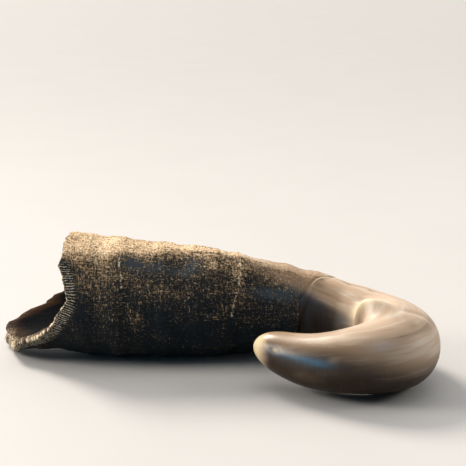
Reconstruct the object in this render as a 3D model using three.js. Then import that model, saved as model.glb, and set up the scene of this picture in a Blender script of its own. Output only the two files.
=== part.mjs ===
import * as THREE from 'three';

// A buffalo horn sheath lying on its side, in millimetres with +Z up.
// One grown piece: a hollow tube of keratin with a broken, slanting rim at the left (-X),
// a solid bend at the right (+X), and a blunt tip that hooks back along the front (-Y).
//
// A place on the horn has two numbers: its distance along the middle line, counted from
// the lip of the rim to the tip, and its angle round the section. Angle 0 is the outer
// side of the curve, 90 the top, 180 the inner side of the curve and 270 the underside.

// ---- Driving dimensions ----
const MIDDLE_LENGTH = 480.2;
const START_X = -166.6;
const START_Y = 40.4;

// Values at equal steps along the middle line, from the lip to just short of the tip.
const STEP_LENGTH = 39.83;
// Heading of the middle line in plan: 0 runs along +X, 90 towards the front.
const HEADING = [-3.0, 2.1, 3.6, 0.3, -3.1, -6.8, 5.3, 31.2, 67.7, 112.9, 178.2, 209.0, 210.3];
const HALF_HEIGHT = [46.6, 46.4, 46.8, 45.2, 42.7, 37.4, 32.2, 27.9, 26.5, 26.6, 23.9, 18.8, 12.3];
const HALF_WIDTH = [41.0, 41.5, 41.5, 40.5, 38.6, 35.0, 31.2, 28.4, 27.0, 26.6, 23.9, 18.8, 12.3];
// Lowest point of the section above the ground; below zero it is worn flat.
const RISE = [1.2, 4.4, 0.2, -0.5, -0.6, 1.0, 1.0, -0.5, -0.7, 1.2, 4.3, 5.4, 15.5];
const TIP_ROUNDING = 26.5;
const TIP_BLUNTNESS = 2.9;
// How much further the section reaches on the inner side of the bend.
const INNER_SWELL = { along: 344, reach: 26, width: 6 };

// The broken rim: angle round the section, and distance along the middle line.
const RIM = [
  [0, 52], [30, 56], [60, 58.4], [73.5, 57.7], [88.5, 56.5], [96.5, 56.1], [108.5, 55.3],
  [117.5, 55.3], [125.5, 56.1], [131.5, 56.1], [136.5, 54.5], [141.5, 52.9], [146, 54.9],
  [150.5, 56.1], [155, 57.3], [159.5, 58.9], [164, 59.7], [168.5, 60.9], [173, 60.9],
  [179, 58.5], [185.5, 55.3], [191, 52.5], [201, 48.1], [208.5, 43.3], [216, 37.2],
  [223.5, 31.2], [227.5, 25.5], [230, 20],
  [234, 15.5], [242, 13.2], [256, 11], [271, 8], [285, 4.4], [291, 2.8], [297, 1.4],
  [303, 1.1], [308, 2], [311, 4], [312.5, 8.6], [316.5, 12], [320, 14.8], [324, 18.4],
  [327, 25], [329.5, 31.2], [333, 33.2], [339.5, 37.6], [342, 42.5], [350, 48],
];

// The hollow: wall thickness at the rim, the extra at the lip, and where the hollow ends.
const RIM_WALL = 3.2;
const LIP_EXTRA_WALL = 3.4;
const LIP_ANGLE = 262;
const LIP_SPREAD = 48;
const HOLLOW_TAPER_START = 60;
const HOLLOW_END = 234;
const HOLLOW_TAPER_POWER = 2.7;

// The longitudinal edge between the top face and the front, and the flatter top face.
const EDGE_PLACES = [
  { along: 60, angle: 131 }, { along: 98, angle: 122 }, { along: 130, angle: 113 },
  { along: 186, angle: 103 }, { along: 234, angle: 113 }, { along: 262, angle: 112 },
];
const EDGE_HEIGHT = 1.9;
const EDGE_SPREAD = 9;
const TOP_FLAT_DEPTH = 0.9;
const TOP_FLAT_OFFSET = 34;
const TOP_FLAT_SPREAD = 20;

// Growth ledges: the horn swells to each from the base, steps down, and swells again.
const LEDGES = [
  { along: 99, slant: 2, slantAngle: 90, drop: 0.7 },
  { along: 182, slant: 5, slantAngle: 80, drop: 1.2 },
  { along: 245, slant: 15, slantAngle: 45, drop: 0.8 },
];
const LEDGE_RUN = 3;
const LEDGE_FADE = 60;
const GROWTH_WAVES = [
  { length: 31, height: 0.45, shift: 0.6 },
  { length: 19, height: 0.3, shift: 2.1 },
];
const GROWTH_WAVE_END = 300;

// Grooves of the bend and its top, each as places from one end to the other, with a depth.
const GROOVES = [
  {
    spread: 2.3,
    places: [
      { along: 284, angle: 124, depth: 0.2 }, { along: 299, angle: 118, depth: 1.4 },
      { along: 312, angle: 116, depth: 2.6 }, { along: 332, angle: 109.5, depth: 2.6 },
      { along: 350, angle: 104, depth: 1.6 }, { along: 357, angle: 95, depth: 1 },
      { along: 354, angle: 76, depth: 0.9 }, { along: 350, angle: 58, depth: 1 },
      { along: 350, angle: 40, depth: 0.8 }, { along: 362, angle: 24, depth: 0.2 },
    ],
  },
  {
    spread: 1.3,
    places: [
      { along: 264, angle: 86, depth: 0.4 }, { along: 280, angle: 84, depth: 1.1 },
      { along: 300, angle: 82, depth: 1.1 }, { along: 322, angle: 82, depth: 0.2 },
    ],
  },
];

// Round swellings and pits: height is outward, the reaches are along and round the horn.
const SPOTS = [
  { along: 336, angle: 134, height: 9, reachAlong: 20, reachRound: 13 },
  { along: 334, angle: 62, height: 1.2, reachAlong: 24, reachRound: 12 },
  { along: 376, angle: 60, height: 1.1, reachAlong: 20, reachRound: 13 },
  { along: 455.5, angle: 28, height: -0.7, reachAlong: 2.6, reachRound: 1.8 },
  { along: 414, angle: 20, height: -0.5, reachAlong: 9, reachRound: 5 },
];

// The web of horn that fills the inner corner of the bend upward, by its lift.
const WEB = { along: 362, reach: 18, angle: 148, spread: 24, lift: 15 };

// Spans of rings along the horn, past the first span, whose rings ease from the rim.
const RIM_SPAN_END = 100;
const RIM_SPAN_RINGS = 9;
const RING_SPANS = [
  { end: 172, rings: 9 }, { end: 190, rings: 5 }, { end: 226, rings: 4 }, { end: 272, rings: 10 },
  { end: 360, rings: 18 }, { end: MIDDLE_LENGTH - TIP_ROUNDING, rings: 14 },
];
const DOME_RINGS = 6;
const HOLLOW_RINGS = 20;
const POINTS_ROUND = 44;
const FULL_TURN = 360;

// ---- Helpers ----
const radians = (degrees) => THREE.MathUtils.degToRad(degrees);
const bell = (distance, spread) => Math.exp(-0.5 * (distance / spread) ** 2);
const angleBetween = (a, b) => THREE.MathUtils.euclideanModulo(a - b + 180, FULL_TURN) - 180;

// One smooth curve through equally spaced values, its ends carried straight on.
function smoothAt(values, along) {
  const last = values.length - 1;
  const place = THREE.MathUtils.clamp(along / STEP_LENGTH, 0, last);
  const step = Math.min(Math.floor(place), last - 1);
  const t = place - step;
  const before = step > 0 ? values[step - 1] : 2 * values[0] - values[1];
  const after = step < last - 1 ? values[step + 2] : 2 * values[last] - values[last - 1];
  const [from, to] = [values[step], values[step + 1]];
  const straight = to - before;
  const bend = 2 * before - 5 * from + 4 * to - after;
  const twist = 3 * from - before - 3 * to + after;
  return from + 0.5 * (straight * t + bend * t * t + twist * t * t * t);
}

// The middle line in plan, walked in short steps along its heading.
const WALK_STEPS = 956;
const walk = [new THREE.Vector2(START_X, START_Y)];
for (let step = 0; step < WALK_STEPS; step += 1) {
  const heading = radians(smoothAt(HEADING, ((step + 0.5) / WALK_STEPS) * MIDDLE_LENGTH));
  const stride = new THREE.Vector2(Math.cos(heading), -Math.sin(heading));
  walk.push(walk[step].clone().addScaledVector(stride, MIDDLE_LENGTH / WALK_STEPS));
}

function middleAt(along) {
  const place = THREE.MathUtils.clamp(along / MIDDLE_LENGTH, 0, 1) * WALK_STEPS;
  const step = Math.min(Math.floor(place), WALK_STEPS - 1);
  return walk[step].clone().lerp(walk[step + 1], place - step);
}

// The section at a distance along: its middle, its heading and its two half sizes.
function sectionAt(along) {
  const middle = middleAt(along);
  const height = smoothAt(HALF_HEIGHT, along);
  const intoTip = THREE.MathUtils.clamp((along - MIDDLE_LENGTH + TIP_ROUNDING) / TIP_ROUNDING, 0, 1);
  const dome = Math.sqrt(1 - intoTip ** TIP_BLUNTNESS);
  return {
    x: middle.x,
    y: middle.y,
    z: height + smoothAt(RISE, along),
    heading: radians(smoothAt(HEADING, along)),
    halfHeight: height * dome,
    halfWidth: smoothAt(HALF_WIDTH, along) * dome,
    innerSwell: INNER_SWELL.width * bell(along - INNER_SWELL.along, INNER_SWELL.reach),
    dome,
  };
}

// Position of the broken rim at an angle: its listed places joined smoothly.
function rimAt(angle) {
  const turned = THREE.MathUtils.euclideanModulo(angle, FULL_TURN);
  const found = RIM.findIndex(([listed]) => listed > turned);
  const after = found < 0 ? RIM.length : found;
  const [fromAngle, from] = RIM[after - 1];
  const [toAngle, to] = after < RIM.length ? RIM[after] : [FULL_TURN, RIM[0][1]];
  return THREE.MathUtils.lerp(from, to, (turned - fromAngle) / (toAngle - fromAngle));
}

// The groove's nearest point to a place: its distance over the surface, and its depth there.
function nearestOnGroove(places, along, angle, radius) {
  const nearest = { away: Infinity, depth: 0 };
  const point = new THREE.Vector3(along, radians(angle) * radius, 0);
  for (let index = 1; index < places.length; index += 1) {
    const [from, to] = [places[index - 1], places[index]];
    const ends = [from, to].map(
      (place) => new THREE.Vector3(place.along, radians(place.angle) * radius, 0),
    );
    const line = new THREE.Line3(ends[0], ends[1]);
    const share = line.closestPointToPointParameter(point, true);
    const away = line.at(share, new THREE.Vector3()).distanceTo(point);
    if (away < nearest.away) {
      nearest.away = away;
      nearest.depth = THREE.MathUtils.lerp(from.depth, to.depth, share);
    }
  }
  return nearest;
}

// Angle of the longitudinal edge at a distance along, between its listed places.
function edgeAngleAt(along) {
  const after = EDGE_PLACES.findIndex((place) => place.along > along);
  if (after === 0) return EDGE_PLACES[0].angle;
  if (after < 0) return EDGE_PLACES[EDGE_PLACES.length - 1].angle;
  const [from, to] = [EDGE_PLACES[after - 1], EDGE_PLACES[after]];
  return THREE.MathUtils.mapLinear(along, from.along, to.along, from.angle, to.angle);
}

// ---- Relief: how far the surface stands outside the plain section ----
function edgeRelief(along, angle) {
  const fade = 1 - THREE.MathUtils.smoothstep(along, 235, 285);
  const offset = angleBetween(angle, edgeAngleAt(along));
  const edge = EDGE_HEIGHT * bell(offset, EDGE_SPREAD);
  const flat = TOP_FLAT_DEPTH * bell(offset + TOP_FLAT_OFFSET, TOP_FLAT_SPREAD);
  return fade * (edge - flat);
}

function ledgeRelief(along, angle) {
  let relief = 0;
  for (const ledge of LEDGES) {
    const at = ledge.along + ledge.slant * Math.cos(radians(angle - ledge.slantAngle));
    const stepDown = THREE.MathUtils.smoothstep(along, at, at + LEDGE_RUN);
    const nearness = Math.max(0, 1 - Math.abs(along - at) / LEDGE_FADE);
    relief += ledge.drop * nearness * (0.5 - stepDown);
  }
  return relief;
}

function growthRelief(along) {
  const fade = 1 - THREE.MathUtils.smoothstep(along, GROWTH_WAVE_END - 60, GROWTH_WAVE_END);
  const waves = GROWTH_WAVES.map(
    (wave) => wave.height * Math.sin((2 * Math.PI * along) / wave.length + wave.shift),
  );
  return fade * waves.reduce((sum, height) => sum + height, 0);
}

function grooveRelief(along, angle, radius) {
  return GROOVES.reduce((sum, groove) => {
    const nearest = nearestOnGroove(groove.places, along, angle, radius);
    return sum - nearest.depth * bell(nearest.away, groove.spread);
  }, 0);
}

function spotRelief(along, angle, radius) {
  return SPOTS.reduce((sum, spot) => {
    const round = radians(angleBetween(angle, spot.angle)) * radius;
    return sum + spot.height * bell(along - spot.along, spot.reachAlong) * bell(round, spot.reachRound);
  }, 0);
}

function reliefAt(along, angle, radius) {
  return edgeRelief(along, angle)
    + ledgeRelief(along, angle)
    + growthRelief(along)
    + grooveRelief(along, angle, radius)
    + spotRelief(along, angle, radius);
}

function webLift(along, angle) {
  const across = bell(angleBetween(angle, WEB.angle), WEB.spread);
  return WEB.lift * bell(along - WEB.along, WEB.reach) * across;
}

// ---- The two skins ----
function placeOnSection(section, angle, halfWidth, halfHeight) {
  const side = Math.cos(radians(angle));
  const across = (halfWidth + (side < 0 ? section.innerSwell : 0)) * side;
  const up = halfHeight * Math.sin(radians(angle));
  return new THREE.Vector3(
    section.x + across * Math.sin(section.heading),
    section.y + across * Math.cos(section.heading),
    section.z + up,
  );
}

function outerPoint(along, angle) {
  const section = sectionAt(along);
  const relief = section.dome * reliefAt(along, angle, section.halfHeight);
  const point = placeOnSection(section, angle, section.halfWidth + relief, section.halfHeight + relief);
  point.z = Math.max(point.z + webLift(along, angle), 0);
  return point;
}

function wallAt(angle) {
  return RIM_WALL + LIP_EXTRA_WALL * bell(angleBetween(angle, LIP_ANGLE), LIP_SPREAD);
}

function innerPoint(along, angle) {
  const section = sectionAt(along);
  const deep = THREE.MathUtils.clamp(
    (along - HOLLOW_TAPER_START) / (HOLLOW_END - HOLLOW_TAPER_START), 0, 1,
  );
  const taper = Math.sqrt(1 - deep ** HOLLOW_TAPER_POWER);
  const halfWidth = (section.halfWidth - wallAt(angle)) * taper;
  const halfHeight = (section.halfHeight - wallAt(angle)) * taper;
  return placeOnSection(section, angle, halfWidth, halfHeight);
}

// ---- Rings of points, from the bottom of the hollow out over the rim to the tip ----
const angles = Array.from({ length: POINTS_ROUND }, (_, index) => (FULL_TURN * index) / POINTS_ROUND);
const rings = [];

for (let index = HOLLOW_RINGS - 1; index >= 0; index -= 1) {
  const depth = Math.sin((0.5 * Math.PI * index) / HOLLOW_RINGS);
  const alongAt = (angle) => THREE.MathUtils.lerp(rimAt(angle), HOLLOW_END, depth);
  rings.push(angles.map((angle) => innerPoint(alongAt(angle), angle)));
}

for (let index = 0; index <= RIM_SPAN_RINGS; index += 1) {
  const eased = index / RIM_SPAN_RINGS;
  const alongAt = (angle) => THREE.MathUtils.lerp(rimAt(angle), RIM_SPAN_END, eased);
  rings.push(angles.map((angle) => outerPoint(alongAt(angle), angle)));
}

let spanStart = RIM_SPAN_END;
for (const span of RING_SPANS) {
  for (let index = 1; index <= span.rings; index += 1) {
    const along = THREE.MathUtils.lerp(spanStart, span.end, index / span.rings);
    rings.push(angles.map((angle) => outerPoint(along, angle)));
  }
  spanStart = span.end;
}

for (let index = 1; index < DOME_RINGS; index += 1) {
  const along = spanStart + TIP_ROUNDING * Math.sin((0.5 * Math.PI * index) / DOME_RINGS);
  rings.push(angles.map((angle) => outerPoint(along, angle)));
}

// ---- One closed skin over the rings, with a pole at each end ----
const hollowEnd = innerPoint(HOLLOW_END, 0);
const tipEnd = outerPoint(MIDDLE_LENGTH, 0);
const points = [...rings.flat(), hollowEnd, tipEnd];
const hollowPole = points.length - 2;
const tipPole = points.length - 1;
const lastRing = (rings.length - 1) * POINTS_ROUND;
const triangles = [];

for (let index = 0; index < POINTS_ROUND; index += 1) {
  const next = (index + 1) % POINTS_ROUND;
  triangles.push(hollowPole, next, index);
  for (let start = 0; start < lastRing; start += POINTS_ROUND) {
    const beyond = start + POINTS_ROUND;
    triangles.push(start + index, start + next, beyond + index);
    triangles.push(start + next, beyond + next, beyond + index);
  }
  triangles.push(lastRing + index, lastRing + next, tipPole);
}

const hornGeometry = new THREE.BufferGeometry().setFromPoints(points);
hornGeometry.setIndex(triangles);
hornGeometry.computeVertexNormals();

const keratin = new THREE.MeshStandardMaterial({ color: 0x4a3d2f, roughness: 0.62, metalness: 0 });
const hornSheath = new THREE.Mesh(hornGeometry, keratin);
hornSheath.name = 'horn_sheath';

const group = new THREE.Group();
group.name = 'buffalo_horn';
group.add(hornSheath);

export default group;
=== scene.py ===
# %% [markdown]
# # A weathered buffalo horn
# A horn sheath is one grown piece of keratin. The animal adds a layer at the base every
# season, so the wide end is the youngest and roughest part: thin, ringed, fibrous, and here
# broken off along a slanting rim. The bend and the tip are old, solid and rubbed smooth.
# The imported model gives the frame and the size. This lesson grows one fine skin inside that
# box, from the bottom of the hollow, out over the broken rim, and on to the tip. A tube, a
# lining and a tip could be joined instead, but one skin has no joints to hide.

import bpy
import numpy as np
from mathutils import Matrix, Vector


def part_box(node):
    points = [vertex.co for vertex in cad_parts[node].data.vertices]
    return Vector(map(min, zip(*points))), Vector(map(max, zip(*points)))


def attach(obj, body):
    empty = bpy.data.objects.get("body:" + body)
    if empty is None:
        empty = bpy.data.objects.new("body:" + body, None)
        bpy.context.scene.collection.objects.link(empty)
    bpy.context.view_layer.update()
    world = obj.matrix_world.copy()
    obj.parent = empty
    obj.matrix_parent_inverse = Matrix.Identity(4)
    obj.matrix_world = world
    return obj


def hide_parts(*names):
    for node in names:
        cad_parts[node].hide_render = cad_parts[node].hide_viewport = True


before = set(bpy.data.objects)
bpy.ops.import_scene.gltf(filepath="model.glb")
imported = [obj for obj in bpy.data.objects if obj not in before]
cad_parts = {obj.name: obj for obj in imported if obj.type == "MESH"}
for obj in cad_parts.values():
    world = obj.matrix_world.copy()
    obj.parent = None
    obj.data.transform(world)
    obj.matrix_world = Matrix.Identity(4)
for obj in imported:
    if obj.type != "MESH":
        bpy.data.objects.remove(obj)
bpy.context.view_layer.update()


def rounded(numbers, digits):
    """The numbers as a list, each rounded to so many digits, for printing."""
    return [round(float(number), digits) for number in numbers]


# %% [markdown]
# ## The camera
# A long lens a good arm's length away, a little above the table, keeps the horn's long body
# and its hooked tip in proportion. It is made first, so that every later step can be looked at.

# %% Camera
CAMERA_AIM = Vector((0.0152, -0.0047, 0.1068))  # metres, a little above the horn
CAMERA_DISTANCE = 0.9  # metres
CAMERA_TILT = np.radians(14.0)
CAMERA_LENS = 95.25  # mm
SENSOR_WIDTH = 36.0  # mm
CAMERA_REACH = 40.0  # metres, farther than any corner of the table

camera_data = bpy.data.cameras.new("long_lens")
camera_data.lens = CAMERA_LENS
camera_data.sensor_width = SENSOR_WIDTH
camera_data.clip_end = CAMERA_REACH
camera = bpy.data.objects.new("long_lens", camera_data)
bpy.context.scene.collection.objects.link(camera)
camera_back = Vector((0.0, -np.cos(CAMERA_TILT), np.sin(CAMERA_TILT)))
camera.location = CAMERA_AIM + CAMERA_DISTANCE * camera_back
camera.rotation_euler = (-camera_back).to_track_quat("-Z", "Y").to_euler()
bpy.context.scene.camera = camera
print("camera stands at", rounded(camera.location, 3))

# %% [markdown]
# ## The measures of the horn
# A place on the horn has two numbers: its distance along the middle line in millimetres, from
# the lip of the rim to the tip, and its angle round the section. Angle 0 is the outer side of
# the curve, 90 the top, 180 the inner side and 270 the underside. The lists below give the
# heading and the size at equal steps along, as a maker would take them with callipers.

# %% Measures in millimetres and degrees
MIDDLE_LENGTH = 480.2
START = (-166.6, 40.4)
STEP_LENGTH = 39.83
HEADING = [-3.0, 2.1, 3.6, 0.3, -3.1, -6.8, 5.3, 31.2, 67.7, 112.9, 178.2, 209.0, 210.3]
HALF_HEIGHT = [46.6, 46.4, 46.8, 45.2, 42.7, 37.4, 32.2, 27.9, 26.5, 26.6, 23.9, 18.8, 12.3]
HALF_WIDTH = [41.0, 41.5, 41.5, 40.5, 38.6, 35.0, 31.2, 28.4, 27.0, 26.6, 23.9, 18.8, 12.3]
RISE = [1.2, 4.4, 0.2, -0.5, -0.6, 1.0, 1.0, -0.5, -0.7, 1.2, 4.3, 5.4, 15.5]
TIP_ROUNDING = 26.5
TIP_BLUNTNESS = 2.9
# The inner shoulder of the bend, where the inner side is wider.
INNER_SWELL = {"along": 344.0, "reach": 26.0, "width": 6.0}

# Angle round the section, and where the broken rim stands there.
RIM = [
    (0, 52), (30, 56), (60, 58.4), (73.5, 57.7), (88.5, 56.5), (96.5, 56.1), (108.5, 55.3),
    (117.5, 55.3), (125.5, 56.1), (131.5, 56.1), (136.5, 54.5), (141.5, 52.9), (146, 54.9),
    (150.5, 56.1), (155, 57.3), (159.5, 58.9), (164, 59.7), (168.5, 60.9), (173, 60.9),
    (179, 58.5), (185.5, 55.3), (191, 52.5), (201, 48.1), (208.5, 43.3), (216, 37.2),
    (223.5, 31.2), (227.5, 25.5), (230, 20), (234, 15.5), (242, 13.2), (256, 11), (271, 8),
    (285, 4.4), (291, 2.8), (297, 1.4), (303, 1.1), (308, 2), (311, 4), (312.5, 8.6),
    (316.5, 12), (320, 14.8), (324, 18.4), (327, 25), (329.5, 31.2), (333, 33.2),
    (339.5, 37.6), (342, 42.5), (350, 48), (360, 52),
]
RIM_WALL = 3.2
LIP_EXTRA_WALL = 3.4
LIP_ANGLE = 262.0
LIP_SPREAD = 48.0
HOLLOW_TAPER_START = 60.0
HOLLOW_END = 234.0
HOLLOW_TAPER_POWER = 2.7
print("middle line", MIDDLE_LENGTH, "mm, mouth about", 2 * HALF_HEIGHT[1], "mm high")

# %% [markdown]
# ## The middle line and the section
# The horn is a sweep: an oval that shrinks and turns as it goes along a bent line. The line is
# walked in short steps along its heading, as a hand follows the horn, and a smooth curve
# through the listed values gives the oval at every place between them. A curve object with a
# bevel could do the sweep too, but then no formula would say where a scar or a ring lies.


# %% Sweep helpers
def smooth_at(values, along):
    """Catmull-Rom curve: between two listed values the curve leaves the first one parallel to
    the line joining its neighbours, and comes to the second one in the same way."""
    listed = np.asarray(values, float)
    ends = ([2 * listed[0] - listed[1]], listed, [2 * listed[-1] - listed[-2]])
    padded = np.concatenate(ends)
    place = np.clip(np.asarray(along) / STEP_LENGTH, 0, len(listed) - 1)
    step = np.minimum(place.astype(int), len(listed) - 2)
    t = place - step
    before, first, second, after = (padded[step + shift] for shift in range(4))
    bend = 2 * before - 5 * first + 4 * second - after
    twist = 3 * first - before - 3 * second + after
    return first + 0.5 * ((second - before) * t + bend * t**2 + twist * t**3)


def between_places(places, at):
    """Straight lines through listed pairs of a place and its value."""
    listed_at, listed_values = zip(*places)
    return np.interp(at, listed_at, listed_values)


def ease(low, high, value):
    """Smooth step: 0 below low, 1 above high, and 3 t squared minus 2 t cubed between."""
    t = np.clip((value - low) / (high - low), 0, 1)
    return t * t * (3 - 2 * t)


def bell(distance, spread):
    """Bell curve: 1 at distance 0, falling as e to the minus half of the square of
    distance over spread."""
    return np.exp(-0.5 * (distance / spread) ** 2)


def turn_between(angle, other):
    """Signed turn in degrees from other to angle, from -180 to 180."""
    return (angle - other + 180) % 360 - 180


WALK_STEPS = 956
walk_along = np.linspace(0, MIDDLE_LENGTH, WALK_STEPS + 1)
stride = MIDDLE_LENGTH / WALK_STEPS
walk_heading = np.radians(smooth_at(HEADING, walk_along[:-1] + stride / 2))
walk_x = START[0] + np.append(0, np.cumsum(np.cos(walk_heading) * stride))
walk_y = START[1] - np.append(0, np.cumsum(np.sin(walk_heading) * stride))
print("middle line ends at x and y", rounded((walk_x[-1], walk_y[-1]), 1), "mm")


# %% Section
def section_at(along):
    """The oval at a distance along: its middle, heading and two half sizes. Over the last
    stretch they shrink as the square root of 1 minus t to the power of the bluntness."""
    height = smooth_at(HALF_HEIGHT, along)
    into_tip = np.clip((along - MIDDLE_LENGTH + TIP_ROUNDING) / TIP_ROUNDING, 0, 1)
    dome = np.sqrt(1 - into_tip**TIP_BLUNTNESS)
    return {
        "x": np.interp(along, walk_along, walk_x),
        "y": np.interp(along, walk_along, walk_y),
        "z": height + smooth_at(RISE, along),
        "heading": np.radians(smooth_at(HEADING, along)),
        "half_height": height * dome,
        "half_width": smooth_at(HALF_WIDTH, along) * dome,
        "swell": INNER_SWELL["width"] * bell(along - INNER_SWELL["along"], INNER_SWELL["reach"]),
        "dome": dome,
    }


def place_on_section(section, angle, half_width, half_height):
    """A point of the oval: cosine of the angle times the half width goes to the outer side,
    sine of the angle times the half height goes up."""
    side = np.cos(np.radians(angle))
    across = (half_width + np.where(side < 0, section["swell"], 0)) * side
    return np.stack([
        section["x"] + across * np.sin(section["heading"]),
        section["y"] + across * np.cos(section["heading"]),
        section["z"] + half_height * np.sin(np.radians(angle)),
    ], axis=-1)


middle_section = section_at(MIDDLE_LENGTH / 2)
print("half way along it is", round(2 * float(middle_section["half_height"]), 1), "mm high")

# %% [markdown]
# ## The large relief
# These are the forms that a hand can feel: the long edge between the top face and the front,
# the ledges where growth stopped for a season, slow swellings, and the creases and knobs of
# the bend. They could be sculpted, but bells and smooth steps of the two numbers of a place
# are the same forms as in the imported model, so the skin stays in its box.

# %% Places of the large forms
EDGE_PLACES = [(60, 131), (98, 122), (130, 113), (186, 103), (234, 113), (262, 112)]
EDGE_HEIGHT = 1.9
EDGE_SPREAD = 9.0
EDGE_FADES = (235, 285)
TOP_FLAT = {"depth": 0.9, "offset": 34.0, "spread": 20.0}

LEDGES = [
    {"along": 99, "slant": 2, "slant_angle": 90, "drop": 0.7},
    {"along": 182, "slant": 5, "slant_angle": 80, "drop": 1.2},
    {"along": 245, "slant": 15, "slant_angle": 45, "drop": 0.8},
]
LEDGE_RUN = 1.6  # mm in which the skin drops
LEDGE_FADE = 60.0
GROWTH_WAVES = [(31, 0.45, 0.6), (19, 0.3, 2.1)]  # length, height, shift
GROWTH_WAVES_FADE = (240, 300)

# Grooves as chains of places: along, angle and depth.
GROOVES = [
    {"half_width": 2.3, "places": [
        (284, 124, 0.2), (299, 118, 1.4), (312, 116, 2.6), (332, 109.5, 2.6), (350, 104, 1.6),
        (357, 95, 1.0), (354, 76, 0.9), (350, 58, 1.0), (350, 40, 0.8), (362, 24, 0.2)]},
    {"half_width": 1.3, "places": [
        (264, 86, 0.4), (280, 84, 1.1), (300, 82, 1.1), (322, 82, 0.2)]},
]

# Along, angle, height outward, reach along, reach round, all but the angle in millimetres:
# the knob and two low swellings of the bend, the pit beside the tip's end, and a dent.
SPOTS = [
    (336, 134, 9.0, 20, 13), (334, 62, 1.2, 24, 12), (376, 60, 1.1, 20, 13),
    (455.5, 28, -0.7, 2.6, 1.8), (414, 20, -0.5, 9, 5),
]
# The web of horn that fills the inner corner of the bend, as far up as its lift.
WEB = {"along": 362.0, "reach": 18.0, "angle": 148.0, "spread": 24.0, "lift": 15.0}
print(len(LEDGES), "ledges,", len(GROOVES), "grooves,", len(SPOTS), "knobs and pits")


# %% Large relief
def nearest_on_line(places, along, angle, radius):
    """Shortest distance over the unrolled skin to a chain of straight pieces, and the depth
    there. On each piece the foot of the perpendicular is kept between its two ends, and the
    depth runs straight from end to end."""
    here = np.stack([along, np.radians(angle) * radius], axis=-1)
    nearest, depth = np.full(along.shape, np.inf), np.zeros(along.shape)
    for start, end in zip(places[:-1], places[1:]):
        first = np.stack([start[0] + 0 * radius, np.radians(start[1]) * radius], axis=-1)
        last = np.stack([end[0] + 0 * radius, np.radians(end[1]) * radius], axis=-1)
        run = last - first
        share = np.sum((here - first) * run, -1) / np.maximum(np.sum(run * run, -1), 1e-9)
        share = np.clip(share, 0, 1)
        away = np.linalg.norm(here - first - share[..., None] * run, axis=-1)
        depth_here = start[2] + share * (end[2] - start[2])
        depth = np.where(away < nearest, depth_here, depth)
        nearest = np.minimum(nearest, away)
    return nearest, depth


def edge_turn(along, angle):
    """Degrees from the long edge: negative on the top face, positive on the front."""
    return turn_between(angle, between_places(EDGE_PLACES, along))


def ledge_relief(along, angle, ledge, wander):
    """A swelling that grows towards the ledge and drops within a short run past it: the drop
    times a tent around the ledge times a half minus a smooth step."""
    slant = ledge["slant"] * np.cos(np.radians(angle - ledge["slant_angle"]))
    past = along - ledge["along"] - slant - wander
    tent = np.maximum(0, 1 - np.abs(past) / LEDGE_FADE)
    return ledge["drop"] * tent * (0.5 - ease(0, LEDGE_RUN, past))


def web_lift(along, angle):
    """Millimetres upward in the inner corner of the bend: the lift times a bell along the horn
    and a bell round it."""
    across = bell(turn_between(angle, WEB["angle"]), WEB["spread"])
    return WEB["lift"] * bell(along - WEB["along"], WEB["reach"]) * across


def large_relief(along, angle, radius, wander):
    """Sum of all large forms in millimetres, outward. Each ledge is moved by the wander."""
    turn = edge_turn(along, angle)
    flat = TOP_FLAT["depth"] * bell(turn + TOP_FLAT["offset"], TOP_FLAT["spread"])
    relief = (1 - ease(*EDGE_FADES, along)) * (EDGE_HEIGHT * bell(turn, EDGE_SPREAD) - flat)
    for ledge in LEDGES:
        relief += ledge_relief(along, angle, ledge, wander)
    fade = 1 - ease(*GROWTH_WAVES_FADE, along)
    for length, height, shift in GROWTH_WAVES:
        relief += fade * height * np.sin(2 * np.pi * along / length + shift)
    for groove in GROOVES:
        away, depth = nearest_on_line(groove["places"], along, angle, radius)
        relief -= depth * bell(away, groove["half_width"])
    for at, around, height, reach_along, reach_round in SPOTS:
        across = np.radians(turn_between(angle, around)) * radius
        relief += height * bell(along - at, reach_along) * bell(across, reach_round)
    return relief


knob = [np.array([number], float) for number in SPOTS[0][:2]]
knob_relief = large_relief(*knob, section_at(knob[0])["half_height"], 0.0)
print("the knob of the bend stands out by", rounded(knob_relief, 1), "mm")

# %% [markdown]
# ## The fine relief
# Keratin grows as fine threads packed side by side, laid down in thin rings. Weather lifts it
# in flakes a few millimetres wide, and the threads stand out like a comb beside the rim, where
# the sheath tore. A height picture could give these, but it would stretch where the horn
# bends. Random numbers on a lattice that closes round the horn, stretched along it for threads
# and across it for rings, follow the bend. The seeds are fixed, so the horn is the same each
# time.

# %% Patchy values that close round the horn
ROWS_BEFORE_LIP = 2
SPARE_ROWS = 6  # those before the lip, and some past the tip
# Height in mm, cell along in mm, cells round the horn, and seed.
RIM_NICKS = [(0.5, 10, 40, 11), (0.5, 10, 120, 12)]
RIM_CHIPS = [(1.0, 10, 60, 13)]
CHIPPED_MIDDLE = 350.0  # degrees, on the far side
CHIPS_FADE = (60, 90)  # degrees from there


def patchy(along, angle, cell, cells_round, seed):
    """Value noise from -1 to 1: a random number on each corner of a lattice, cells of the given
    length along and the given count round, joined by 3 t squared minus 2 t cubed."""
    rows = int(MIDDLE_LENGTH / cell) + SPARE_ROWS
    table = np.random.default_rng(seed).uniform(-1, 1, (rows, cells_round))
    u = np.clip(along / cell + ROWS_BEFORE_LIP, 0, rows - 2)
    v = (angle % 360) / 360 * cells_round
    row, column = u.astype(int), v.astype(int)
    right = ease(0, 1, v - column)
    up = ease(0, 1, u - row)
    column, beside = column % cells_round, (column + 1) % cells_round
    low = table[row, column] * (1 - right) + table[row, beside] * right
    high = table[row + 1, column] * (1 - right) + table[row + 1, beside] * right
    return low * (1 - up) + high * up


def patches(kinds, along, angle):
    """Sum of patchy values, each times its height."""
    return sum(height * patchy(along, angle, *cells) for height, *cells in kinds)


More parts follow.
